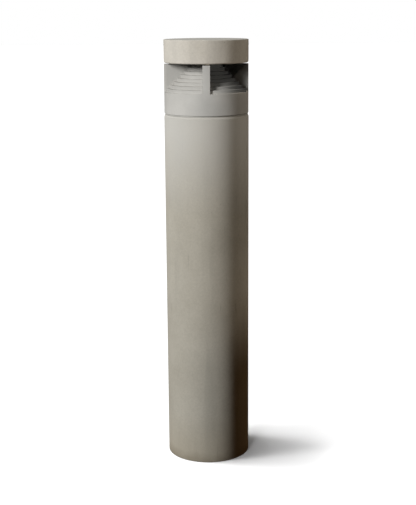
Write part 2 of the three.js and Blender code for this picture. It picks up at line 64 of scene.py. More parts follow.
# ---- sizes, from the CAD nodes
def low(node):
    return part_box(node)[0]


def high(node):
    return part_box(node)[1]


def radius_of(node):
    """Half of a node's width along X."""
    return (high(node).x - low(node).x) / 2


def span(node):
    """A node's lowest and highest height, and its radius."""
    return low(node).z, high(node).z, radius_of(node)


def centre_of(node):
    """Where a node's axis crosses the XY plane."""
    return ((low(node) + high(node)) / 2).xy


def circle_of(node):
    """Radius of the circle that a screw or rod stands on."""
    return centre_of(node).length


SHAFT_RADIUS = radius_of("concrete_shaft")
SHAFT_TOP = high("concrete_shaft").z
HEAD_BASE, FIN_TOP, HEAD_RADIUS = span("head_casting")
CAP_BASE, CAP_TOP, CAP_RADIUS = span("cap_shell")
REFLECTOR_BASE = low("stepped_reflector").z
REFLECTOR_TOP = high("stepped_reflector").z

# Dimensions of the CAD that no box gives.
FIN_WIDTH = 17 * MM
HEAD_FLOOR = 7 * MM   # thickness
HEAD_WALL_INNER = 94.4 * MM
WIRE_HOLE = 11 * MM
STEPS = 8
STEP_RISE = 8 * MM
STEP_RUN = 8.3 * MM
TOP_STEP_RADIUS = 36 * MM
SKIRT_RADIUS = TOP_STEP_RADIUS + (STEPS - 1) * STEP_RUN   # the lowest step
FIN_INNER = TOP_STEP_RADIUS + 0.6 * MM   # the fins end just short of the top step
LEDGE = REFLECTOR_TOP - STEPS * STEP_RISE   # the head ring's top
ANCHOR_CIRCLE = 48 * MM


# ---- node graphs
def fill(tree, socket, value):
    """Links a socket to another one, or sets its value."""
    if isinstance(value, bpy.types.NodeSocket):
        tree.links.new(value, socket)
    else:
        socket.default_value = value


def add_node(tree, kind, inputs=None, **settings):
    """A shader node, with sockets set or linked by name."""
    made = tree.nodes.new("ShaderNode" + kind)
    for name, value in settings.items():
        setattr(made, name, value)
    for name, value in (inputs or {}).items():
        fill(tree, made.inputs[name], value)
    return made


def noise_field(tree, place, scale, detail=3.0, roughness=0.55, stretch=(1, 1, 1)):
    """Noise from 0 to 1 over the object, scale in cycles a metre."""
    spread = add_node(tree, "Mapping", {"Vector": place, "Scale": stretch})
    field = add_node(tree, "TexNoise", {"Vector": spread.outputs["Vector"], "Scale": scale,
                                        "Detail": detail, "Roughness": roughness})
    return field.outputs["Fac"]


def remap(tree, value, from_low, from_high, to_low=0.0, to_high=1.0):
    made = add_node(tree, "MapRange", {"Value": value, "From Min": from_low, "From Max": from_high,
                                       "To Min": to_low, "To Max": to_high})
    return made.outputs["Result"]


def calculate(tree, operation, a, b):
    made = add_node(tree, "Math", operation=operation)
    for socket, value in zip(made.inputs, (a, b)):
        fill(tree, socket, value)
    return made.outputs[0]


def times(tree, a, b):
    return calculate(tree, "MULTIPLY", a, b)


# Numbers of a Mix node's sockets when it mixes colours.
MIX_AMOUNT, MIX_FIRST, MIX_SECOND, MIX_RESULT = 0, 6, 7, 2


def mix_colour(tree, amount, first, second, blend="MIX"):
    """first where amount is 0, second where it is 1."""
    made = add_node(tree, "Mix", data_type="RGBA", blend_type=blend)
    fill(tree, made.inputs[MIX_AMOUNT], amount)
    for number, colour in ((MIX_FIRST, first), (MIX_SECOND, second)):
        fill(tree, made.inputs[number], (*colour, 1.0) if isinstance(colour, tuple) else colour)
    return made.outputs[MIX_RESULT]


def brighten(tree, colour, amount):
    """A colour times a number, which is below 1 where the colour gets darker."""
    grey = add_node(tree, "CombineColor", {"Red": amount, "Green": amount, "Blue": amount})
    return mix_colour(tree, 1.0, colour, grey.outputs["Color"], "MULTIPLY")


def shade(tint, share):
    """A plain colour made darker or lighter."""
    return tuple(min(1.0, share * c) for c in tint)


def edge_mask(tree, width):
    """1 on sharp convex and concave edges, falling to 0 a little way off."""
    soft = add_node(tree, "Bevel", {"Radius": width}, samples=4)
    plain = add_node(tree, "NewGeometry")
    same = add_node(tree, "VectorMath", operation="DOT_PRODUCT")
    tree.links.new(soft.outputs["Normal"], same.inputs[0])
    tree.links.new(plain.outputs["Normal"], same.inputs[1])
    return remap(tree, same.outputs["Value"], 0.995, 0.85)


def new_material(name):
    """An empty material, its shader and the object's own coordinates."""
    material = bpy.data.materials.new(name)
    material.use_nodes = True
    tree = material.node_tree
    shader = tree.nodes["Principled BSDF"]
    place = add_node(tree, "TexCoord").outputs["Object"]
    return material, tree, shader, place


def dress(tree, shader, colour, roughness, height, depth, strength):
    """Gives a shader its colour, its roughness and a bump of some depth."""
    bump = add_node(tree, "Bump", {"Height": height, "Distance": depth, "Strength": strength})
    tree.links.new(colour, shader.inputs["Base Color"])
    tree.links.new(roughness, shader.inputs["Roughness"])
    tree.links.new(bump.outputs["Normal"], shader.inputs["Normal"])


# ---- materials
def concrete(name, tint, top_light_colour=None, foot_shade=0.0):
    """Sealed precast concrete: clouding, sand grain, pores and faint runs down the sides.

    A shaft is paler under the head, painted light for the brighter light there, in the colour given after
    its tint, and darker and browner at its foot.
    """
    material, tree, shader, place = new_material(name)
    clouds = noise_field(tree, place, 9, detail=4)
    patches = noise_field(tree, place, 38, detail=3)
    grain = noise_field(tree, place, 900, detail=2, roughness=0.7)
    pores = pore_mask(tree, place)
    colour = clouded_cement(tree, place, tint, clouds, patches)
    colour = streaked(tree, place, colour, tint, clouds)
    mottle = noise_field(tree, place, 210, detail=3)
    colour = brighten(tree, colour, remap(tree, grain, 0.30, 0.70, 0.93, 1.07))
    colour = brighten(tree, colour, remap(tree, mottle, 0.32, 0.68, 0.955, 1.045))
    colour = mix_colour(tree, times(tree, pores, 0.55), colour, shade(tint, 0.35))
    worn = times(tree, edge_mask(tree, 2.5 * MM), remap(tree, patches, 0.35, 0.65, 0.05, 0.45))
    colour = mix_colour(tree, worn, colour, shade(tint, 1.28))
    height = add_node(tree, "SeparateXYZ", {"Vector": place}).outputs["Z"]
    # Painted light: the shaft turns paler under the head.
    if top_light_colour:
        colour = paint_top_light(tree, colour, top_light_colour, height, clouds)
    # Darker and browner towards the foot.
    if foot_shade:
        colour = darken_foot(tree, colour, foot_shade, height, patches)
    shader.inputs["Specular IOR Level"].default_value = 0.35
    shader.inputs["Diffuse Roughness"].default_value = 0.25
    roughness = remap(tree, patches, 0.3, 0.7, 0.72, 0.92)
    texture = calculate(tree, "SUBTRACT", times(tree, grain, 0.35), pores)
    relief = calculate(tree, "ADD", texture, times(tree, patches, 0.8))
    dress(tree, shader, colour, roughness, relief, 0.35 * MM, 0.8)
    return material


def clouded_cement(tree, place, tint, clouds, patches):
    """Large clouds from pale to a browner dark, evened out in smaller patches."""
    pale = shade(tint, 1.08)
    deep = (0.90 * tint[0], 0.89 * tint[1], 0.87 * tint[2])
    colour = mix_colour(tree, remap(tree, clouds, 0.32, 0.68), pale, deep)
    return mix_colour(tree, remap(tree, patches, 0.30, 0.70, 0.0, 0.45), colour, tint)


def streaked(tree, place, colour, tint, clouds):
    """Dark runs and, in the darker clouds, fine scratches, all stretched along Z."""
    runs = noise_field(tree, place, 34, detail=2, stretch=(1, 1, 0.09))
    hairlines = noise_field(tree, place, 300, detail=1, stretch=(1, 1, 0.04))
    colour = mix_colour(tree, remap(tree, runs, 0.50, 0.72, 0.0, 0.30), colour, shade(tint, 0.72))
    scratched = times(tree, remap(tree, hairlines, 0.70, 0.76), remap(tree, clouds, 0.5, 0.6))
    return mix_colour(tree, times(tree, scratched, 0.4), colour, shade(tint, 0.4))


def paint_top_light(tree, colour, top_light_colour, height, clouds):
    """Turns paler from 0.62 m to 0.80 m up, along an uneven line: painted light for the brighter light near
    the head.
    """
    wobble = remap(tree, clouds, 0.2, 0.8, -40 * MM, 40 * MM)
    reach = remap(tree, calculate(tree, "ADD", height, wobble), 0.62, 0.80)
    return mix_colour(tree, reach, colour, mix_colour(tree, 0.75, colour, top_light_colour))


def darken_foot(tree, colour, amount, height, patches):
    """Browner up to 120 mm from the ground, along an uneven line, and darker in the lowest 26 mm."""
    foot_brown, lowest_dark = (0.42, 0.372, 0.283), (0.20, 0.165, 0.115)
    wobble = remap(tree, patches, 0.2, 0.8, -8 * MM, 8 * MM)
    reach = calculate(tree, "ADD", height, wobble)
    colour = mix_colour(tree, remap(tree, reach, 120 * MM, 10 * MM, 0.0, amount), colour, foot_brown)
    return mix_colour(tree, remap(tree, reach, 26 * MM, 0.0, 0.0, amount), colour, lowest_dark)


def pore_mask(tree, place):
    """Sparse round air holes, 1 to 2 mm across."""
    spots = add_node(tree, "TexVoronoi", {"Vector": place, "Scale": 95.0, "Randomness": 1.0})
    size = add_node(tree, "SeparateColor", {"Color": spots.outputs["Color"]}).outputs["Red"]
    reach = remap(tree, size, 0.86, 1.0, 0.0, 0.11)
    inside = calculate(tree, "SUBTRACT", reach, spots.outputs["Distance"])
    return remap(tree, inside, 0.0, 0.03)


def powder_coat(name, tint):
    """Matt light grey paint on a casting: orange peel, faint dust, thin wear on the edges.

    It is darker inside the head: painted shade in the recess under the cap.
    """
    material, tree, shader, place = new_material(name)
    clouds = noise_field(tree, place, 14, detail=4)
    peel = noise_field(tree, place, 700, detail=2, roughness=0.6)
    sand = noise_field(tree, place, 120, detail=4)
    colour = mix_colour(tree, remap(tree, clouds, 0.32, 0.68), shade(tint, 0.91), shade(tint, 1.05))
    colour = brighten(tree, colour, remap(tree, peel, 0.30, 0.70, 0.965, 1.035))
    facing = add_node(tree, "NewGeometry").outputs["Normal"]
    upward = add_node(tree, "SeparateXYZ", {"Vector": facing}).outputs["Z"]
    dust = times(tree, remap(tree, upward, 0.5, 1.0), remap(tree, sand, 0.35, 0.7, 0.1, 0.5))
    colour = mix_colour(tree, dust, colour, (0.42, 0.39, 0.33))
    worn = times(tree, edge_mask(tree, 1.2 * MM), remap(tree, sand, 0.4, 0.65, 0.0, 0.5))
    colour = mix_colour(tree, worn, colour, shade(tint, 1.22))
    # Painted shade: darker within 98 mm of the axis, inside the head.
    recess_shade = remap(tree, distance_from_axis(tree, place), 98 * MM, 92 * MM, 1.0, 0.84)
    colour = brighten(tree, colour, recess_shade)
    shader.inputs["Specular IOR Level"].default_value = 0.4
    roughness = remap(tree, sand, 0.3, 0.7, 0.52, 0.70)
    relief = calculate(tree, "ADD", peel, times(tree, sand, 1.2))
    dress(tree, shader, colour, roughness, relief, 0.12 * MM, 0.6)
    return material


def distance_from_axis(tree, place):
    level = add_node(tree, "VectorMath", {"Vector": place}, operation="MULTIPLY")
    level.inputs[1].default_value = (1.0, 1.0, 0.0)
    reach = add_node(tree, "VectorMath", {"Vector": level.outputs["Vector"]}, operation="LENGTH")
    return reach.outputs["Value"]


def metal(name, tint, roughness, grain_scale, stretch, wear=1.3, spangle=0.0):
    """Bare or plated metal with directional grain, bright edges and, for zinc, a crystal pattern."""
    material, tree, shader, place = new_material(name)
    shader.inputs["Metallic"].default_value = 1.0
    grain = noise_field(tree, place, grain_scale, detail=3, stretch=stretch)
    blotch = noise_field(tree, place, 60, detail=3)
    colour = mix_colour(tree, remap(tree, blotch, 0.3, 0.7), shade(tint, 0.85), tint)
    if spangle:
        cells = add_node(tree, "TexVoronoi", {"Vector": place, "Scale": 160.0})
        tone = add_node(tree, "SeparateColor", {"Color": cells.outputs["Color"]}).outputs["Red"]
        colour = brighten(tree, colour, remap(tree, tone, 0.0, 1.0, 1.0 - spangle, 1.0 + spangle))
    worn = times(tree, edge_mask(tree, 0.6 * MM), 0.6)
    colour = mix_colour(tree, worn, colour, shade(tint, wear))
    spread = remap(tree, grain, 0.3, 0.7, roughness - 0.08, roughness + 0.10)
    dress(tree, shader, colour, spread, grain, 0.03 * MM, 0.5)
    return material


def moulded(name, tint, roughness, texture_scale, depth, variation=0.08):
    """Plastic, rubber or silicone with a fine moulded texture."""
    material, tree, shader, place = new_material(name)
    texture = noise_field(tree, place, texture_scale, detail=3, roughness=0.6)
    blotch = noise_field(tree, place, 50, detail=3)
    colour = mix_colour(tree, remap(tree, blotch, 0.3, 0.7),
                        shade(tint, 1 - variation), shade(tint, 1 + variation))
    scuffed = tuple(min(1.0, 1.25 * c + 0.02) for c in tint)
    colour = mix_colour(tree, times(tree, edge_mask(tree, 0.5 * MM), 0.35), colour, scuffed)
    spread = remap(tree, texture, 0.3, 0.7, roughness - 0.07, roughness + 0.07)
    dress(tree, shader, colour, spread, texture, depth, 0.6)
    return material


def cover_glass():
    """Clear toughened glass with faint smears."""
    material, tree, shader, place = new_material("cover_glass")
    shader.inputs["Base Color"].default_value = (0.93, 0.97, 0.96, 1.0)
    shader.inputs["Transmission Weight"].default_value = 1.0
    shader.inputs["IOR"].default_value = 1.5
    smears = noise_field(tree, place, 45, detail=4, stretch=(1, 3, 1))
    tree.links.new(remap(tree, smears, 0.35, 0.75, 0.02, 0.16), shader.inputs["Roughness"])
    return material


FINISHES = {
    # The shaft's third colour is painted light, making it paler under the head; 0.5 is how much darker and
    # browner its foot turns.
    "concrete": concrete("sealed_concrete", (0.465, 0.444, 0.388), (0.580, 0.576, 0.552), 0.5),
    # The cap's concrete is paler than the shaft's: partly its own tone, partly painted light for the
    # brighter light on the head.
    "cap_concrete": concrete("cap_concrete", (0.585, 0.560, 0.510)),
    "painted_casting": powder_coat("light_grey_powder_coat", (0.515, 0.509, 0.487)),
    "galvanised_steel": metal("galvanised_steel", (0.56, 0.58, 0.60), 0.42, 300, (1, 1, 1), 1.2, 0.10),
    "stainless_steel": metal("stainless_steel", (0.66, 0.65, 0.63), 0.28, 900, (1, 1, 6)),
    "bare_aluminium": metal("turned_aluminium", (0.78, 0.79, 0.80), 0.32, 1200, (1, 1, 8), 1.15),
    "black_rubber": moulded("black_rubber", (0.022, 0.022, 0.023), 0.78, 1400, 0.05 * MM),
    "silicone": moulded("grey_silicone", (0.50, 0.50, 0.47), 0.55, 500, 0.03 * MM),
    "nylon": moulded("natural_nylon", (0.72, 0.70, 0.63), 0.45, 800, 0.03 * MM),
    "circuit_board": moulded("white_solder_mask", (0.80, 0.81, 0.80), 0.38, 300, 0.02 * MM, 0.03),
    "driver_case": moulded("driver_case", (0.70, 0.71, 0.70), 0.48, 900, 0.04 * MM),
    "dark_plastic": moulded("dark_plastic", (0.035, 0.037, 0.040), 0.46, 1100, 0.05 * MM),
    "cable_sheath": moulded("cable_sheath", (0.040, 0.041, 0.043), 0.58, 700, 0.04 * MM),
    "clear_glass": cover_glass(),
    "phosphor": moulded("yellow_phosphor", (0.78, 0.56, 0.12), 0.30, 1500, 0.01 * MM, 0.05),
}


# ---- mesh building
def rounded(outline, steps=5):
    """Replaces each (x, y, radius) corner with an arc; a radius of 0 keeps the corner sharp."""
    made = []
    count = len(outline)
    for i, (x, y, radius) in enumerate(outline):
        here = Vector((x, y))
        if radius <= 0:
            made.append(here)
            continue
        before = (Vector(outline[i - 1][:2]) - here).normalized()
        after = (Vector(outline[(i + 1) % count][:2]) - here).normalized()
        half = before.angle(after) / 2
        reach = radius / math.tan(half)
        centre = here + (before + after).normalized() * (radius / math.sin(half))
        start = here + before * reach - centre
        sweep = start.angle_signed(here + after * reach - centre)
        for k in range(steps + 1):
            angle = -sweep * k / steps
            cos, sin = math.cos(angle), math.sin(angle)
            made.append(centre + Vector((start.x * cos - start.y * sin, start.x * sin + start.y * cos)))
    return made


def lathe(mesh, profile, segments=ROUND, middle=(0.0, 0.0)):
    """Turns a closed profile of (radius, height) points round a vertical axis.

    A point on the axis becomes one vertex.
    """
    angles = [TURN * (k + 0.5) / segments for k in range(segments)]
    rings = []
    for r, z in profile:
        around = angles if r > 0 else angles[:1]
        rings.append([mesh.verts.new((middle[0] + r * math.cos(a), middle[1] + r * math.sin(a), z))
                      for a in around])
    for a, b in zip(rings, rings[1:] + rings[:1]):
        if len(a) == 1 and len(b) == 1:
            continue
        for k in range(segments):
            n = (k + 1) % segments
            if len(a) == 1:
                mesh.faces.new((a[0], b[n], b[k]))
            elif len(b) == 1:
                mesh.faces.new((a[k], a[n], b[0]))
            else:
                mesh.faces.new((a[k], a[n], b[n], b[k]))


def box(mesh, corner_a, corner_b):
    """A box between two opposite corners."""
    xs, ys, zs = zip(corner_a, corner_b)
    corners = [mesh.verts.new((x, y, z)) for z in zs for y in ys for x in xs]
    for face in ((0, 2, 3, 1), (4, 5, 7, 6), (0, 1, 5, 4), (2, 6, 7, 3), (0, 4, 6, 2), (1, 3, 7, 5)):
        mesh.faces.new([corners[i] for i in face])


def prism(mesh, corners, base, top):
    """An upright prism on an outline of (x, y) corners."""
    lower = [mesh.verts.new((x, y, base)) for x, y in corners]
    upper = [mesh.verts.new((x, y, top)) for x, y in corners]
    mesh.faces.new(lower)
    mesh.faces.new(upper)
    for k in range(len(corners)):
        n = (k + 1) % len(corners)
        mesh.faces.new((lower[k], lower[n], upper[n], upper[k]))


def prisms(mesh, outlines, base, top):
    for corners in outlines:
        prism(mesh, corners, base, top)


def ring_of_points(count, radius, start=0.0, middle=(0.0, 0.0)):
    """Points round a circle, the first at an angle from +X."""
    angles = [start + TURN * k / count for k in range(count)]
    return [(middle[0] + radius * math.cos(a), middle[1] + radius * math.sin(a)) for a in angles]


def column(radius, base, top):
    """The profile of a plain cylinder."""
    return [(0, base), (radius, base), (radius, top), (0, top)]


def ring_section(bore, rim, base, top, rounds):
    """The outline of a ring, with the radius of each of its four edges from the low inner one outwards."""
    corners = ((bore, base), (rim, base), (rim, top), (bore, top))
    return [(r, z, edge) for (r, z), edge in zip(corners, rounds)]


def to_object(name, mesh):
    """A smooth-shaded object from a bmesh, its faces turned outwards."""
    bmesh.ops.recalc_face_normals(mesh, faces=mesh.faces)
    data = bpy.data.meshes.new(name)
    mesh.to_mesh(data)
    mesh.free()
    made = bpy.data.objects.new(name, data)
    bpy.context.scene.collection.objects.link(made)
    smooth_shade(data)
    return made


def shape(name, build, *measures, **settings):
    """An object made by lathe, box, prism or prisms."""
    mesh = bmesh.new()
    build(mesh, *measures, **settings)
    return to_object(name, mesh)


def smooth_shade(data, crease=math.radians(32)):
    for face in data.polygons:
        face.use_smooth = True
    data.set_sharp_from_angle(angle=crease)


def piece(made, finish, *nodes):
    """Puts an object in place of CAD nodes, with its material and its flat faces shaded flat."""
    made.data.materials.append(FINISHES[finish])
    flats = made.modifiers.new("flat_faces", "WEIGHTED_NORMAL")
    flats.keep_sharp = True
    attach(made, BODY)
    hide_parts(*nodes)
    return made


def turned(name, outline, finish, *nodes, segments=ROUND, middle=(0.0, 0.0)):
    """A piece turned from an outline of (radius, height, edge radius) corners."""
    return piece(shape(name, lathe, rounded(outline), segments, middle), finish, *nodes)


def combine(target, cutter, operation):
    """Cuts or joins with another object, which is then removed."""
    step = target.modifiers.new("combine", "BOOLEAN")
    step.operation = operation
    step.object = cutter
    step.solver = "EXACT"
    apply_modifiers(target)
    bpy.data.objects.remove(cutter)


def apply_modifiers(made):
    """Turns an object's modifiers into its own mesh."""
    graph = bpy.context.evaluated_depsgraph_get()
    done = bpy.data.meshes.new_from_object(made.evaluated_get(graph))
    made.modifiers.clear()
    made.data = done


def cut(target, build, *measures, **settings):
    """Cuts a lathed shape, box or prism out of an object."""
    combine(target, shape("cutter", build, *measures, **settings), "DIFFERENCE")


def soften_edges(made, width, steps=3, angle=math.radians(35)):
    bevel = made.modifiers.new("soften", "BEVEL")
    bevel.width = width
    bevel.segments = steps
    bevel.limit_method = "ANGLE"
    bevel.angle_limit = angle
    apply_modifiers(made)
    smooth_shade(made.data)


def finished(made, finish, *nodes, edge=0.25 * MM):
    """Breaks an object's edges and puts it in place of CAD nodes."""
    soften_edges(made, edge, steps=2)
    return piece(made, finish, *nodes)


# ---- shaft
def weather(made, amount, grain, edge_heights, chip):
    """Moves a turned concrete surface inwards by a little, unevenly, and chips its round edges."""
    chip_reach = 5 * MM
    coarse, fine = 55, 160   # cycles of noise a metre
    least = 0.18             # only stronger noise makes a chip
    for vertex in made.data.vertices:
        x, y, z = vertex.co
        r = math.hypot(x, y)
        if r == 0:
            continue
        wave = 0.5 + 0.5 * noise.noise(vertex.co * grain)
        closeness = max(max(0.0, 1 - abs(z - edge) / chip_reach) for edge in edge_heights)
        flake = noise.noise(vertex.co * coarse) + 0.5 * noise.noise(vertex.co * fine)
        depth = amount * wave + chip * closeness * max(0.0, flake - least)
        factor = (r - depth) / r
        vertex.co = (x * factor, y * factor, z)


def add_shaft():
    base = low("concrete_shaft").z
    bore, recess, seat = 62 * MM, 78 * MM, 72 * MM
    recess_top = 10.4 * MM
    seat_base = SHAFT_TOP - 22 * MM
    bands = 40   # up the side, so that the weathering has vertices to move
    groove, groove_depth = SHAFT_TOP - 4.7 * MM, 0.8 * MM
    outline = [
        (recess, base, 0),
        (SHAFT_RADIUS - 1 * MM, base, 0.4 * MM),
        (SHAFT_RADIUS, base + 1 * MM, 0.6 * MM),
        *((SHAFT_RADIUS, k * SHAFT_TOP / bands, 0) for k in range(1, bands)),
        (SHAFT_RADIUS, groove, 0),
        (SHAFT_RADIUS - groove_depth, groove + 0.5 * MM, 0),
        (SHAFT_RADIUS - 0.3 * MM, groove + 1 * MM, 0.3 * MM),
        (SHAFT_RADIUS - 2 * MM, SHAFT_TOP, 0.7 * MM),
        (seat, SHAFT_TOP, 0.6 * MM),
        (seat, seat_base, 0),
        (bore, seat_base, 0.6 * MM),
        (bore, recess_top, 0),
        (recess, recess_top, 0),
    ]
    shaft = turned("concrete_shaft_body", outline, "concrete", "concrete_shaft")
    weather(shaft, amount=0.15 * MM, grain=14, edge_heights=(0.0, SHAFT_TOP - 2 * MM), chip=0.8 * MM)


def add_gasket():
    """The seal in the seam, its rim pressed out into a soft bulge."""
    base, top, rim = span("head_gasket")
    outline = ring_section(80 * MM, rim, base, top, (0, 0.7 * MM, 0.7 * MM, 0))
    turned("seam_gasket", outline, "silicone", "head_gasket")


add_shaft()
add_gasket()


# ---- head
def add_head_casting():
    """A turned blank with the four windows cut out between the fins."""
    chamfer = 1.2 * MM
    blank = [(WIRE_HOLE, HEAD_BASE), (HEAD_RADIUS - chamfer, HEAD_BASE), (HEAD_RADIUS, HEAD_BASE + chamfer),
             (HEAD_RADIUS, FIN_TOP), (WIRE_HOLE, FIN_TOP)]
    casting = shape("finned_head", lathe, blank, segments=HEAD_ROUND)
    half, floor = FIN_WIDTH / 2, HEAD_BASE + HEAD_FLOOR
    beyond, above, past = 120 * MM, FIN_TOP + 10 * MM, 5 * MM
    for sx, sy in ((1, 1), (-1, 1), (-1, -1), (1, -1)):
        cut(casting, box, (sx * half, sy * half, LEDGE), (sx * beyond, sy * beyond, above))
        well = shape("well", lathe, column(HEAD_WALL_INNER, floor, above), segments=HEAD_ROUND)
        quarter = shape("quarter", box, (sx * half, sy * half, floor - past),
                        (sx * beyond, sy * beyond, above + past))
        combine(well, quarter, "INTERSECT")
        combine(casting, well, "DIFFERENCE")
    cut(casting, lathe, column(FIN_INNER, floor, above), segments=96)
    soften_edges(casting, 0.9 * MM)
    piece(casting, "painted_casting", "head_casting")


def add_reflector():
    """The stepped cone, its steps softly rounded, slotted for the fins."""
    skirt_inner = SKIRT_RADIUS - 3.5 * MM
    outline = [(skirt_inner, REFLECTOR_BASE, 0), (SKIRT_RADIUS, REFLECTOR_BASE, 0)]
    for step in range(STEPS):
        tread = LEDGE + (step + 1) * STEP_RISE
        outline.append((SKIRT_RADIUS - step * STEP_RUN, tread, 1.3 * MM))
        if step < STEPS - 1:
            outline.append((SKIRT_RADIUS - (step + 1) * STEP_RUN, tread, 1.0 * MM))
    hub, hollow_top, hollow_radius = 12 * MM, REFLECTOR_TOP - 7 * MM, 28 * MM
    rim = SKIRT_RADIUS - 5.5 * MM
    rim_height = hollow_top - (rim - hollow_radius)
    outline += [
        (hub, REFLECTOR_TOP, 0.6 * MM),
        (hub, hollow_top, 0),
        (hollow_radius, hollow_top, 0),
        (rim, rim_height, 0),
        (skirt_inner, rim_height - 2 * MM, 0),
    ]
    cone = shape("stepped_cone", lathe, rounded(outline, steps=4), segments=HEAD_ROUND)
    slack = 0.3 * MM
    half, inner, beyond = FIN_WIDTH / 2 + slack, FIN_INNER - slack, 120 * MM
    below, above = REFLECTOR_BASE - 5 * MM, REFLECTOR_TOP + 5 * MM
    slots = (((inner, -half), (beyond, half)), ((-beyond, -half), (-inner, half)),
             ((-half, inner), (half, beyond)), ((-half, -beyond), (half, -inner)))
    for near, far in slots:
        cut(cone, box, (*near, below), (*far, above))
    smooth_shade(cone.data)
    piece(cone, "painted_casting", "stepped_reflector")


add_head_casting()
add_reflector()


# ---- cap
def add_cap():
    """The hollow cap, with rows of vertices up its side and across its top for the weathering to move."""
    cavity, cavity_top = 88 * MM, CAP_BASE + 35.6 * MM
    side = [(CAP_RADIUS, CAP_BASE + z * MM, 0) for z in range(6, 50, 4)]
    outline = [
        (0, CAP_TOP, 0),
        (0, cavity_top, 0),
        (cavity, cavity_top, 0.8 * MM),
        (cavity, CAP_BASE, 0.8 * MM),
        (CAP_RADIUS - 2 * MM, CAP_BASE, 0.8 * MM),
        (CAP_RADIUS, CAP_BASE + 2 * MM, 1.4 * MM),
        *side,
        (CAP_RADIUS, CAP_TOP, 1.3 * MM),
        *((CAP_RADIUS * share, CAP_TOP, 0) for share in (0.97, 0.9, 0.8, 0.6, 0.4, 0.2)),
    ]
    cap = turned("cap", outline, "cap_concrete", "cap_shell")
    weather(cap, amount=0.12 * MM, grain=16, edge_heights=(CAP_BASE + 1 * MM, CAP_TOP), chip=0.8 * MM)


add_cap()


# ---- drilled and threaded parts
def drill(target, spots, radius, base, top):
    """Cuts an upright hole at each (x, y) spot."""
    outlines = [ring_of_points(HOLE_SIDES, radius, TURN / (2 * HOLE_SIDES), spot) for spot in spots]
    cut(target, prisms, outlines, base, top)


def cut_thread(made, middle, radius, base, top, pitch):
    """Presses a helical groove into the stretch of a shank that is full of rings."""
    depth = 0.55 * pitch
    for vertex in made.data.vertices:
        x, y = vertex.co.x - middle[0], vertex.co.y - middle[1]
        r = math.hypot(x, y)
        if r < 0.9 * radius or not base < vertex.co.z < top:
            continue
        phase = (vertex.co.z / pitch - math.atan2(y, x) / TURN) % 1.0
        fade = min(1.0, (vertex.co.z - base) / pitch, (top - vertex.co.z) / pitch)
        factor = (r - depth * fade * abs(2 * phase - 1)) / r
        vertex.co.x = middle[0] + x * factor
        vertex.co.y = middle[1] + y * factor


def thread_rings(radius, start, end, pitch):
    """Profile points close enough together to carry a thread."""
    rings_a_turn = 6
    count = max(2, round(abs(end - start) / pitch * rings_a_turn))
    return [(radius, start + (end - start) * k / count) for k in range(1, count)]


def knurl(made, middle, radius, depth, base, top):
    """Presses every other line of a screw head's rim in a little."""
    for vertex in made.data.vertices:
        x, y = vertex.co.x - middle[0], vertex.co.y - middle[1]
        r = math.hypot(x, y)
        if r < 0.98 * radius or not base < vertex.co.z < top:
            continue
        if round(math.atan2(y, x) / TURN * SCREW_ROUND - 0.5) % 2:
            vertex.co.x = middle[0] + x * (r - depth) / r
            vertex.co.y = middle[1] + y * (r - depth) / r


def socket_screw(node, head_height, shank, pitch, threaded, head_up):
    """A socket cap screw: knurled head, hexagon socket, and a thread over the last stretch."""
    middle, head_radius = centre_of(node), radius_of(node)
    face, tip = (high(node).z, low(node).z) if head_up else (low(node).z, high(node).z)
    way = 1 if tip > face else -1
    run, point = tip - way * threaded, tip - way * 0.6 * pitch   # the thread's two ends

    def down(share):
        """A height on the head, 0 at its face and 1 at its neck."""
        return face + way * share * head_height

    outline = [
        (0, face, 0),
        (head_radius, face, 0.08 * head_radius),
        (head_radius, down(0.3), 0),
        (head_radius, down(0.8), 0),
        (head_radius, down(1), 0.04 * head_radius),
        (shank, down(1), 0),
        (shank, run, 0),
        *((*ring, 0) for ring in thread_rings(shank, run, point, pitch)),
        (shank, point, 0),
        (shank - 0.6 * pitch, tip, 0),
        (0, tip, 0),
    ]
    screw = shape(node + "_detailed", lathe, rounded(outline, steps=3), SCREW_ROUND, middle)
    knurl(screw, middle, head_radius, 0.03 * head_radius, *sorted((down(0.2), down(0.9))))
    cut_thread(screw, middle, shank, *sorted((run, point)), pitch)
    floor, mouth = sorted((down(0.58), face - way * MM))
    cut(screw, prism, ring_of_points(6, 0.88 * shank, 0.0, middle), floor, mouth)
    smooth_shade(screw.data)
    piece(screw, "stainless_steel", node)


# Head height, shank radius, thread pitch and threaded length in millimetres, and whether the head is up.
SCREWS = {
    "head_bolt": (8, 4, 1.25, 18, True),
    "cap_screw": (6, 3, 1.0, 14, False),
    "carrier_screw": (5, 2.5, 0.8, 16, False),
    "retainer_screw": (2, 1.5, 0.5, 5, False),
}


def add_screws():
    for number in range(1, 5):
        for kind, (*measures, head_up) in SCREWS.items():
            socket_screw(f"{kind}_{number}", *(size * MM for size in measures), head_up)


# ---- foot and clamp ring
def add_base_plate():
    """A turned steel plate with a counterbore for the grommet, four anchor holes and four rod holes."""
    base, top, rim = span("base_plate")
    hole, lip, seat = 25 * MM, 29.5 * MM, top - 1.2 * MM
    profile = [(hole, base), (rim, base), (rim, top), (lip, top), (lip, seat), (hole, seat)]
    plate = shape("anchor_plate", lathe, profile, segments=PLATE_ROUND)
    anchor_hole, rod_hole = 7 * MM, 5.3 * MM
    through = (base - 5 * MM, top + 5 * MM)
    drill(plate, ring_of_points(4, ANCHOR_CIRCLE, DIAGONALS), anchor_hole, *through)
    drill(plate, ring_of_points(4, circle_of("tie_rod_1"), AXES), rod_hole, *through)
    finished(plate, "galvanised_steel", "base_plate", edge=0.4 * MM)


def add_inlet_grommet():
    base, top, lip = span("inlet_grommet")
    bore, sleeve, lip_base = 19.5 * MM, 24.7 * MM, 8.8 * MM
    outline = [
        (bore, base, 0.5 * MM),
        (sleeve, base, 0.8 * MM),
        (sleeve, lip_base, 0),
        (lip, lip_base, 0.6 * MM),
        (lip, lip_base + 2.5 * MM, 1.0 * MM),
        (bore + 1.5 * MM, top, 0.5 * MM),
        (bore, top, 0.5 * MM),
    ]
    turned("cable_grommet", outline, "black_rubber", "inlet_grommet", segments=96)


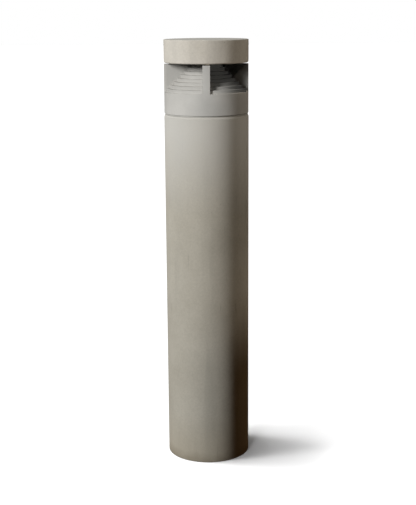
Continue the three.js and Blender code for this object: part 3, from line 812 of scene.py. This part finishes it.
def add_clamp_ring():
    base, top, rim = span("top_clamp_ring")
    bore, rod_hole, bolt_hole = 42 * MM, 5.5 * MM, 4.5 * MM
    profile = [(bore, base), (rim, base), (rim, top), (bore, top)]
    ring = shape("clamp_ring", lathe, profile, segments=PLATE_ROUND)
    through = (base - 5 * MM, top + 5 * MM)
    drill(ring, ring_of_points(4, circle_of("tie_rod_1"), AXES), rod_hole, *through)
    drill(ring, ring_of_points(4, circle_of("head_bolt_1"), DIAGONALS), bolt_hole, *through)
    finished(ring, "galvanised_steel", "top_clamp_ring", edge=0.4 * MM)


def add_tie_rod(number):
    """A long stud with a rolled thread at each end."""
    node = f"tie_rod_{number}"
    middle = centre_of(node)
    base, top, radius = span(node)
    pitch, threaded, point = 1.5 * MM, 30 * MM, 1.0 * MM
    threads = ((base + point, base + threaded), (top - threaded, top - point))
    profile = [(0, base), (radius - point, base)]
    for start, end in threads:
        profile += [(radius, start), *thread_rings(radius, start, end, pitch), (radius, end)]
    profile += [(radius - point, top), (0, top)]
    stud = shape(f"stud_{number}", lathe, profile, segments=32, middle=middle)
    for start, end in threads:
        cut_thread(stud, middle, radius, start, end, pitch)
    piece(stud, "galvanised_steel", node)


def add_clamp_washer(number):
    node = f"clamp_washer_{number}"
    base, top, rim = span(node)
    outline = ring_section(5.5 * MM, rim, base, top, (0.2 * MM, 0.2 * MM, 0.6 * MM, 0.4 * MM))
    turned(f"flat_washer_{number}", outline, "galvanised_steel", node, segments=64, middle=centre_of(node))


def add_clamp_nut(number):
    """A hexagon nut: a round blank with chamfered ends, cut to six flats."""
    node = f"clamp_nut_{number}"
    middle = centre_of(node)
    base, top, widest = span(node)
    flats = min(widest, (high(node).y - low(node).y) / 2)
    corner = flats / math.cos(TURN / 12)
    bore, rim = 5.3 * MM, corner + MM
    chamfer = (corner - flats) / 2 + 0.6 * MM
    profile = [(bore, base), (flats, base), (rim, base + chamfer),
               (rim, top - chamfer), (flats, top), (bore, top)]
    nut = shape(f"hex_nut_{number}", lathe, profile, segments=72, middle=middle)
    corner_on_x = widest > flats + 0.1 * MM
    six = ring_of_points(6, corner, 0.0 if corner_on_x else TURN / 12, middle)
    combine(nut, shape("hexagon", prism, six, base - MM, top + MM), "INTERSECT")
    smooth_shade(nut.data)
    piece(nut, "galvanised_steel", node)


# ---- spacers and seals of the head
def add_spacers():
    for number in range(1, 5):
        node = f"cap_spacer_{number}"
        base, top, rim = span(node)
        outline = ring_section(3.4 * MM, rim, base, top, (0.3 * MM, 0.5 * MM, 0.5 * MM, 0.3 * MM))
        turned(f"nylon_spacer_{number}", outline, "nylon", node, segments=64, middle=centre_of(node))


def add_hub_seal():
    """A ring with two soft beads on each face."""
    base, top, rim = span("hub_seal")
    bore, groove, soft = 15 * MM, 0.9 * MM, 0.8 * MM
    width = (rim - bore) / 5
    faces = []
    for height, way in ((base, 1), (top, -1)):
        bead = [
            (bore, height, soft),
            (bore + 1.5 * width, height, soft),
            (bore + 2 * width, height + way * groove, soft),
            (bore + 3 * width, height + way * groove, soft),
            (bore + 3.5 * width, height, soft),
            (rim, height, soft),
        ]
        faces += bead if way > 0 else bead[::-1]
    turned("beaded_hub_seal", faces, "silicone", "hub_seal", segments=96)


# ---- light unit
def add_glass():
    base, top, rim = span("cover_glass")
    outline = ring_section(13 * MM, rim, base, top, 4 * (0.6 * MM,))
    turned("glass_pane", outline, "clear_glass", "cover_glass", segments=UNIT_ROUND)


def add_glass_gasket():
    base, top, rim = span("glass_gasket")
    outline = ring_section(57 * MM, rim, base, top, 4 * (0.8 * MM,))
    turned("pane_gasket", outline, "silicone", "glass_gasket", segments=UNIT_ROUND)


def add_retainer():
    """The trim ring that holds the glass, with its counterbored screw holes."""
    base, top, rim = span("glass_retainer")
    lip_radius, wall = 54 * MM, 62.6 * MM
    lip = low("cover_glass").z - 0.3 * MM
    profile = [(lip_radius, base), (rim, base), (rim, top),
               (wall, top), (wall, lip), (lip_radius + MM, lip)]
    ring = shape("trim_ring", lathe, profile, segments=UNIT_ROUND)
    hole, counterbore, depth = 1.8 * MM, 3.1 * MM, 3 * MM
    spots = ring_of_points(4, circle_of("retainer_screw_1"), DIAGONALS)
    drill(ring, spots, hole, base - MM, top + MM)
    drill(ring, spots, counterbore, base - MM, base + depth)
    finished(ring, "bare_aluminium", "glass_retainer", edge=0.35 * MM)


def add_board():
    """The ring-shaped circuit board and, under it, the light-emitting packages with their domes."""
    node = "led_board"
    lowest, top, rim = span(node)
    base = top - 1.6 * MM
    outline = ring_section(20 * MM, rim, base, top, 4 * (0.2 * MM,))
    turned("ring_board", outline, "circuit_board", node, segments=PLATE_ROUND)
    half, body, dome_radius, dome_rows = 2.3 * MM, 0.6 * MM, 1.9 * MM, 6
    seat = base - body
    angles = [TURN / 4 * k / dome_rows for k in range(dome_rows)]
    dome = [(dome_radius * math.cos(a), seat - (seat - lowest) * math.sin(a)) for a in angles]
    outer_row, inner_row = ring_of_points(16, 46 * MM), ring_of_points(8, 30 * MM, TURN / 16)
    packages, domes = bmesh.new(), bmesh.new()
    for x, y in outer_row + inner_row:
        box(packages, (x - half, y - half, seat), (x + half, y + half, base + 0.3 * MM))
        lathe(domes, [(0, seat), *dome, (0, lowest)], segments=20, middle=(x, y))
    piece(to_object("led_packages", packages), "circuit_board", node)
    piece(to_object("led_domes", domes), "phosphor", node)


def add_carrier():
    """The heat sink plate: hub and feet under it, posts and radial ribs on it."""
    foot_base, post_top, rim = span("led_carrier")
    under, plate_top = CAP_BASE + 11.6 * MM, CAP_BASE + 17.6 * MM
    hub, hub_base = 12 * MM, CAP_BASE + 1.6 * MM
    outline = [
        (0, hub_base, 0),
        (hub, hub_base, 0.5 * MM),
        (hub, under, 1.0 * MM),
        (rim, under, 0.6 * MM),
        (rim, plate_top, 0.6 * MM),
        (0, plate_top, 0),
    ]
    carrier = shape("heat_sink", lathe, rounded(outline, steps=3), segments=UNIT_ROUND)
    sunk = 1 * MM   # how far a part joined on reaches into the plate
    feet = ring_of_points(4, circle_of("cap_screw_1"), AXES)
    posts = ring_of_points(4, circle_of("carrier_screw_1"), DIAGONALS)
    foot_radius, post_radius = 7.5 * MM, 7 * MM
    for spots, radius, base, top in ((feet, foot_radius, foot_base, under + sunk),
                                     (posts, post_radius, plate_top - sunk, post_top)):
        outlines = [ring_of_points(48, radius, 0.0, spot) for spot in spots]
        combine(carrier, shape("uprights", prisms, outlines, base, top), "UNION")
    rib_top = plate_top + 13 * MM
    ribs = shape("ribs", prisms, rib_outlines(12), plate_top - sunk, rib_top)
    combine(carrier, ribs, "UNION")
    foot_hole, post_hole, lead_hole = 3.3 * MM, 2.8 * MM, 5 * MM
    drill(carrier, feet, foot_hole, foot_base - MM, under - 0.5 * MM)
    drill(carrier, posts, post_hole, foot_base - MM, post_top + MM)
    drill(carrier, [(0, 0), (30 * MM, 0)], lead_hole, foot_base - MM, post_top + MM)
    finished(carrier, "bare_aluminium", "led_carrier", edge=0.3 * MM)


def rib_outlines(count):
    """Narrow oblongs that point away from the axis."""
    half, inner, outer = 1.5 * MM, 40 * MM, 66 * MM
    outlines = []
    for k in range(count):
        angle = TURN * (k + 0.5) / count
        out = Vector((math.cos(angle), math.sin(angle)))
        side = Vector((-out.y, out.x)) * half
        outlines.append([out * inner - side, out * outer - side, out * outer + side, out * inner + side])
    return outlines


def grips(top, count, pitch, radius, depth):
    """Outline points of a row of shallow rings, going down from a height."""
    points = []
    for k in range(count):
        z = top - k * pitch
        points += [(radius, z, 0.2 * MM), (radius, z - 0.55 * pitch, 0.2 * MM),
                   (radius - depth, z - 0.65 * pitch, 0), (radius - depth, z - 0.9 * pitch, 0)]
    return points


def add_plug():
    """The round plug under the light unit, with a ringed grip."""
    base, top, grip = span("lead_plug")
    tip, grip_base, chamfer = 8.2 * MM, base + 9 * MM, 0.6 * MM
    outline = [
        (0, top, 0),
        (grip - MM, top, 0.4 * MM),
        *grips(top - 0.6 * MM, 2, 1.7 * MM, grip, 0.5 * MM),
        (grip, grip_base, 0.2 * MM),
        (tip, grip_base, 0),
        (tip, base + chamfer, 0.2 * MM),
        (tip - chamfer, base, 0),
        (0, base, 0),
    ]
    turned("round_plug", outline, "dark_plastic", "lead_plug", segments=72)


add_carrier()
add_plug()
add_screws()
add_base_plate()
add_inlet_grommet()
add_clamp_ring()
for number in range(1, 5):
    add_tie_rod(number)
    add_clamp_washer(number)
    add_clamp_nut(number)
add_spacers()
add_hub_seal()
add_glass()
add_glass_gasket()
add_retainer()
add_board()


# ---- carried-over CAD nodes
def smooth_rounds():
    """A modifier's node group that shades smooth everywhere but across a crease."""
    group = bpy.data.node_groups.new("smooth_rounds", "GeometryNodeTree")
    for direction in ("INPUT", "OUTPUT"):
        group.interface.new_socket("Geometry", in_out=direction, socket_type="NodeSocketGeometry")
    start, end = group.nodes.new("NodeGroupInput"), group.nodes.new("NodeGroupOutput")
    fold = group.nodes.new("GeometryNodeInputMeshEdgeAngle")
    gentle = group.nodes.new("FunctionNodeCompare")
    gentle.operation = "LESS_EQUAL"
    gentle.inputs["B"].default_value = math.radians(28)
    group.links.new(fold.outputs["Unsigned Angle"], gentle.inputs["A"])
    faces, edges = (group.nodes.new("GeometryNodeSetShadeSmooth") for _ in range(2))
    edges.domain = "EDGE"
    group.links.new(start.outputs[0], faces.inputs["Geometry"])
    group.links.new(faces.outputs[0], edges.inputs["Geometry"])
    group.links.new(gentle.outputs["Result"], edges.inputs["Shade Smooth"])
    group.links.new(edges.outputs[0], end.inputs[0])
    return group


def finish_cad_nodes():
    """Gives every CAD node that still shows its slot's material, broken edges and smooth round faces."""
    slot_of = {part["node"]: part["material_slot"] for part in frame["record"]["subparts"]}
    rounds = smooth_rounds()
    for name, node in frame["nodes"].items():
        if node.hide_render:
            continue
        node.data.materials.clear()
        node.data.materials.append(FINISHES[slot_of[name]])
        weld = node.modifiers.new("shared_corners", "WELD")
        weld.merge_threshold = 0.002 * MM
        edge = node.modifiers.new("broken_edge", "BEVEL")
        edge.width = 0.2 * MM
        edge.segments = 2
        edge.limit_method = "ANGLE"
        edge.angle_limit = math.radians(40)
        smooth = node.modifiers.new("smooth_rounds", "NODES")
        smooth.node_group = rounds


finish_cad_nodes()


# ---- floor, light and camera
def add_floor():
    half, thickness, below = 30, 0.1, 0.2 * MM
    floor = shape("floor", box, (-half, -half, -thickness), (half, half, -below))
    material, _, shader, _ = new_material("pale_floor")
    shader.inputs["Base Color"].default_value = (0.86, 0.86, 0.86, 1.0)
    shader.inputs["Roughness"].default_value = 1.0
    shader.inputs["Specular IOR Level"].default_value = 0.0
    shader.inputs["Emission Color"].default_value = (1.0, 1.0, 1.0, 1.0)
    shader.inputs["Emission Strength"].default_value = 0.07
    floor.data.materials.append(material)
    floor.visible_diffuse = False
    floor.visible_glossy = False


def aim(made, target):
    made.rotation_euler = (Vector(target) - made.location).to_track_quat("-Z", "Y").to_euler()


def add_light(name, kind, place, target, power, colour, only=(), never=(), **settings):
    """A light aimed at a point, never seen itself. It falls only on some objects, or never on some."""
    data = bpy.data.lights.new(name, kind)
    data.energy = power
    data.color = colour
    for setting, value in settings.items():
        setattr(data, setting, value)
    light = bpy.data.objects.new(name, data)
    bpy.context.scene.collection.objects.link(light)
    light.location = place
    aim(light, target)
    light.visible_camera = False
    group = bpy.data.collections.new(name + "_receivers")
    for listed in (*only, *never):
        group.objects.link(bpy.data.objects[listed])
    for link in group.collection_objects:
        link.light_linking.link_state = "INCLUDE" if only else "EXCLUDE"
    light.light_linking.receiver_collection = group
    return light


def round_about(azimuth, distance, height):
    """A place at an angle from the front, positive to the right, all from the part's axis."""
    angle = math.radians(azimuth)
    return (distance * math.sin(angle), -distance * math.cos(angle), height)


def beam(degrees, blend, lamp_radius):
    """Settings of a spot light."""
    return {"spot_size": math.radians(degrees), "spot_blend": blend, "shadow_soft_size": lamp_radius}


NEUTRAL, WARM, AMBER, COOL = (1.0, 0.985, 0.96), (1.0, 0.88, 0.74), (1.0, 0.58, 0.26), (0.88, 0.95, 1.0)
GROUND = ("floor",)
METAL = ("stepped_cone", "finned_head")

# Azimuth in degrees, shadow length in metres, strength, and softness in degrees of the suns that light
# the floor. The steep ones, whose shadows are short, stand in a row like one long soft box and draw the
# dark patch beside the foot. The low ones draw its long pale tail.
FLOOR_SUNS = (
    (-102, 0.03, 0.5, 5),
    (-102, 0.09, 0.4, 5),
    (-102, 0.16, 0.65, 5),
    (-102, 0.22, 0.75, 5),
    (-65, 0.10, 0.25, 6),
    (-75, 0.21, 0.6, 6),
    (-75, 2.3, 0.8, 14),
    (-75, 4.8, 1.15, 14),
    (-20, 4.8, 2.1, 14),
)


def add_key_lights():
    """A soft box at the left front, in two so that the metal is lit from nearer the front, and one above."""
    softbox = {"shape": "RECTANGLE", "size": 0.8, "size_y": 1.3}
    target = (0, 0, 0.75)
    add_light("key", "AREA", round_about(-51, 3.5, 2.1), target, 151, NEUTRAL,
              never=GROUND + METAL, **softbox)
    add_light("head_key", "AREA", round_about(-45, 3.5, 2.1), target, 155, NEUTRAL,
              only=METAL, **softbox)
    add_light("overhead", "AREA", (-0.2, 0.2, 3.0), (0, 0, 1.0), 12, COOL,
              never=GROUND, shape="DISK", size=1.6)


def add_fill_lights():
    """The weaker lights round about, none of which shows in a reflection."""
    fills = [
        add_light("left_rim", "AREA", round_about(-112, 2.0, 1.3), (0, 0, 0.6), 1.5, NEUTRAL,
                  never=GROUND, shape="DISK", size=0.8),
        add_light("right_fill", "SPOT", round_about(46, 2.5, 0.75), (0, 0, 0.74), 31, WARM,
                  never=GROUND + METAL, **beam(21.6, 0.25, 0.1)),
        add_light("upper_fill", "SPOT", round_about(46, 2.5, 0.95), (0, 0, 0.95), 18, WARM,
                  never=GROUND + METAL, **beam(18.9, 1.0, 0.1)),
        add_light("ring_fill", "SPOT", round_about(84, 1.2, 2.07), (0, 0, 0.87), 40, WARM,
                  only=("finned_head",), **beam(20, 0.5, 0.05)),
        add_light("side_fill", "SPOT", round_about(108, 2.2, 0.75), (0, 0, 0.74), 21, WARM,
                  never=GROUND + METAL, **beam(24.2, 0.46, 0.1)),
        add_light("recess_fill", "SPOT", round_about(35, 2.0, 0.95), (0, 0, 0.93), 10, NEUTRAL,
                  only=("stepped_cone",), **beam(20, 0.5, 0.1)),
        add_light("low_fill", "SPOT", round_about(84, 1.4, 0.12), (0, 0, 0.12), 5.6, AMBER,
                  never=GROUND, **beam(44, 1.0, 0.2)),
        add_light("back_fill", "AREA", round_about(176, 3.2, 1.5), (0, 0, 0.5), 60, NEUTRAL,
                  never=GROUND, shape="DISK", size=1.4),
    ]
    for light in fills:
        light.visible_glossy = False


def add_floor_suns():
    for number, (azimuth, shadow, strength, softness) in enumerate(FLOOR_SUNS, 1):
        rise = CAP_TOP / shadow
        add_light(f"floor_sun_{number}", "SUN", round_about(azimuth, 1, rise), (0, 0, 0), strength,
                  (1, 1, 1), only=GROUND, angle=math.radians(softness))


def add_world():
    """White behind everything, and next to no light from it."""
    world = bpy.data.worlds.new("studio")
    bpy.context.scene.world = world
    world.use_nodes = True
    background = world.node_tree.nodes["Background"]
    background.inputs["Color"].default_value = (1.0, 1.0, 1.0, 1.0)
    background.inputs["Strength"].default_value = 1.0
    visibility = world.cycles_visibility
    visibility.diffuse = False
    visibility.glossy = False


def add_camera():
    distance, height = 2.6046, 1.0889
    yaw, pitch, roll = (math.radians(a) for a in (0.028, 12.64, -0.394))
    focal_share = 2.16772   # focal length over the sensor's height
    data = bpy.data.cameras.new("camera")
    data.sensor_fit = "VERTICAL"
    data.sensor_height = 36
    data.lens = data.sensor_height * focal_share
    camera = bpy.data.objects.new("camera", data)
    bpy.context.scene.collection.objects.link(camera)
    forward = Vector((math.sin(yaw) * math.cos(pitch), math.cos(yaw) * math.cos(pitch), -math.sin(pitch)))
    camera.location = (0, -distance, height)
    camera.rotation_euler = forward.to_track_quat("-Z", "Y").to_euler()
    camera.rotation_euler.rotate_axis("Z", roll)
    bpy.context.scene.camera = camera


add_floor()
add_key_lights()
add_fill_lights()
add_floor_suns()
add_world()
add_camera()
bpy.context.scene.view_settings.view_transform = "Standard"
